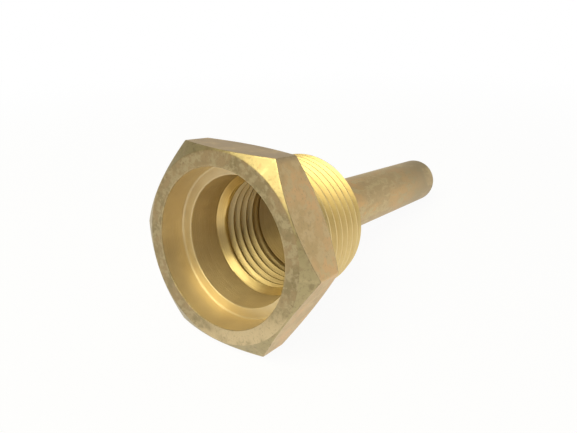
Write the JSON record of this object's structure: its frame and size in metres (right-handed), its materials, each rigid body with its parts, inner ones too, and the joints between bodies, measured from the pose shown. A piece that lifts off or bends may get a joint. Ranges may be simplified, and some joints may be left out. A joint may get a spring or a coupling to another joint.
{
  "type": "thermowell",
  "caption": "One-piece brass thermowell: hexagonal head, tapered pipe thread, stepped threaded socket and a thin closed stem.",
  "frame": {"origin": "on the axis, in the plane of the head's back face, where the process thread begins", "axes": "+Y runs along the axis from the head towards the tip of the stem, the socket opens towards -Y, and two of the six wrench flats are level, facing +Z and -Z"},
  "size_m": [0.0366, 0.0805, 0.0318],
  "materials": {
    "brass": "dull mottled cast skin on the head and stem, bright machined bores, seat and threads"
  },
  "bodies": {
    "root": {"thermowell": "brass"}
  },
  "joints": []
}
